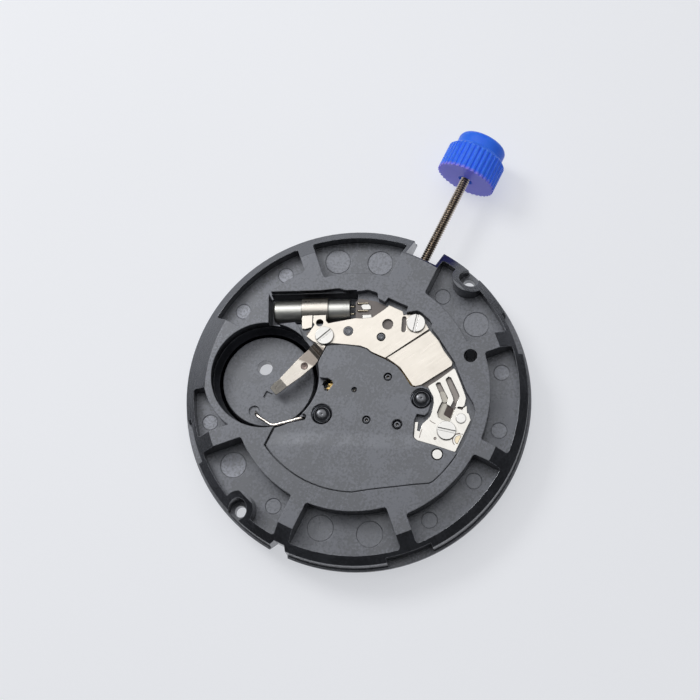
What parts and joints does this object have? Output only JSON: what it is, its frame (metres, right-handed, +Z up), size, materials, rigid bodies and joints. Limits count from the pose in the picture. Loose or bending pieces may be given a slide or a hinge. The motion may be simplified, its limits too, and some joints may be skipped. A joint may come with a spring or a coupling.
{
  "type": "quartz watch movement",
  "caption": "Round quartz watch movement seen from the battery side: moulded plate, metal bridge and sheets, empty battery well, stem and ribbed crown.",
  "frame": {"origin": "on the hands' axis, in the plane that the dial lies on", "axes": "+Z up to the battery side, +X along the stem to the crown"},
  "size_m": [0.0433, 0.0316, 0.006],
  "materials": {
    "black_plastic": "fine moulded grain",
    "nickel_sheet": "satin",
    "steel": "polished",
    "bright_can": "bright",
    "film_brown": "satin",
    "chip_black": "matte",
    "brass": "satin",
    "gilt": "gilt",
    "magnet": "dull",
    "copper_wire": "enamelled",
    "glass_base": "glazed",
    "blue_plastic": "satin"
  },
  "bodies": {
    "movement": {"main_plate": "black_plastic", "train_bridge": "black_plastic", "circuit_film": "film_brown", "circuit_cover": "nickel_sheet", "shield_plate": "nickel_sheet", "contact_spring_plate": "nickel_sheet", "cover_screws": "steel", "steel_pin": "steel", "contact_rivet": "steel", "control_chip": "chip_black", "crystal_can": "bright_can", "crystal_base": "glass_base", "crystal_leads": "gilt", "negative_contact_wire": "gilt", "coil_core": "steel", "motor_coil": "copper_wire", "stator": "steel", "yoke": "steel", "dial_side_cover": "nickel_sheet", "dial_side_screws": "steel"},
    "rotor": {"rotor": "magnet"},
    "fifth": {"fifth_wheel": "brass"},
    "fourth": {"fourth_wheel": "brass"},
    "third": {"third_wheel": "brass"},
    "centre": {"centre_wheel": "brass", "cannon_pinion": "brass"},
    "minute": {"minute_wheel": "brass"},
    "hour": {"hour_wheel": "brass"},
    "setting": {"setting_wheel": "brass"},
    "clutch": {"clutch": "steel"},
    "stem_and_crown": {"stem": "steel", "crown": "blue_plastic"},
    "setting_lever": {"setting_lever": "steel"}
  },
  "joints": [
    {"name": "fourth_spin", "type": "hinge", "parent": "movement", "child": "fourth", "pos_m": [0, 0, 0], "axis": [0, 0, 1], "continuous": true},
    {"name": "fifth_spin", "type": "hinge", "parent": "movement", "child": "fifth", "pos_m": [-0.002, -0.0022, 0], "axis": [0, 0, 1], "continuous": true},
    {"name": "rotor_spin", "type": "hinge", "parent": "movement", "child": "rotor", "pos_m": [-0.0012, -0.00485, 0], "axis": [0, 0, 1], "continuous": true},
    {"name": "third_spin", "type": "hinge", "parent": "movement", "child": "third", "pos_m": [0.00235, -0.0022, 0], "axis": [0, 0, 1], "continuous": true},
    {"name": "centre_spin", "type": "hinge", "parent": "movement", "child": "centre", "pos_m": [0, 0, 0], "axis": [0, 0, 1], "continuous": true},
    {"name": "minute_wheel_spin", "type": "hinge", "parent": "movement", "child": "minute", "pos_m": [0.0025, 0.00259, 0], "axis": [0, 0, 1], "continuous": true},
    {"name": "hour_wheel_spin", "type": "hinge", "parent": "movement", "child": "hour", "pos_m": [0, 0, 0], "axis": [0, 0, 1], "continuous": true},
    {"name": "setting_wheel_spin", "type": "hinge", "parent": "movement", "child": "setting", "pos_m": [0.00551, 0, 0], "axis": [0, 0, 1], "continuous": true},
    {"name": "crown_turn", "type": "hinge", "parent": "movement", "child": "clutch", "pos_m": [0.00745, 0, 0.0014], "axis": [1, 0, 0], "continuous": true},
    {"name": "crown_pull", "type": "slide", "parent": "clutch", "child": "stem_and_crown", "axis": [1, 0, 0], "range_m": [0, 0.0009]},
    {"name": "setting_lever_swing", "type": "hinge", "parent": "movement", "child": "setting_lever", "pos_m": [0.00925, -0.0022, 0], "axis": [0, 0, 1], "range_deg": [-23.08, 0]}
  ],
  "couplings": [
    {"joint": "fifth_spin", "follows": "fourth_spin", "ratio": -5},
    {"joint": "rotor_spin", "follows": "fourth_spin", "ratio": 30},
    {"joint": "third_spin", "follows": "fourth_spin", "ratio": -0.083333},
    {"joint": "centre_spin", "follows": "fourth_spin", "ratio": 0.016667},
    {"joint": "minute_wheel_spin", "follows": "fourth_spin", "ratio": -0.0055556},
    {"joint": "hour_wheel_spin", "follows": "fourth_spin", "ratio": 0.0013889},
    {"joint": "setting_wheel_spin", "follows": "fourth_spin", "ratio": 0.011765},
    {"joint": "setting_lever_swing", "follows": "crown_pull", "rad_per_m": -447.46}
  ]
}
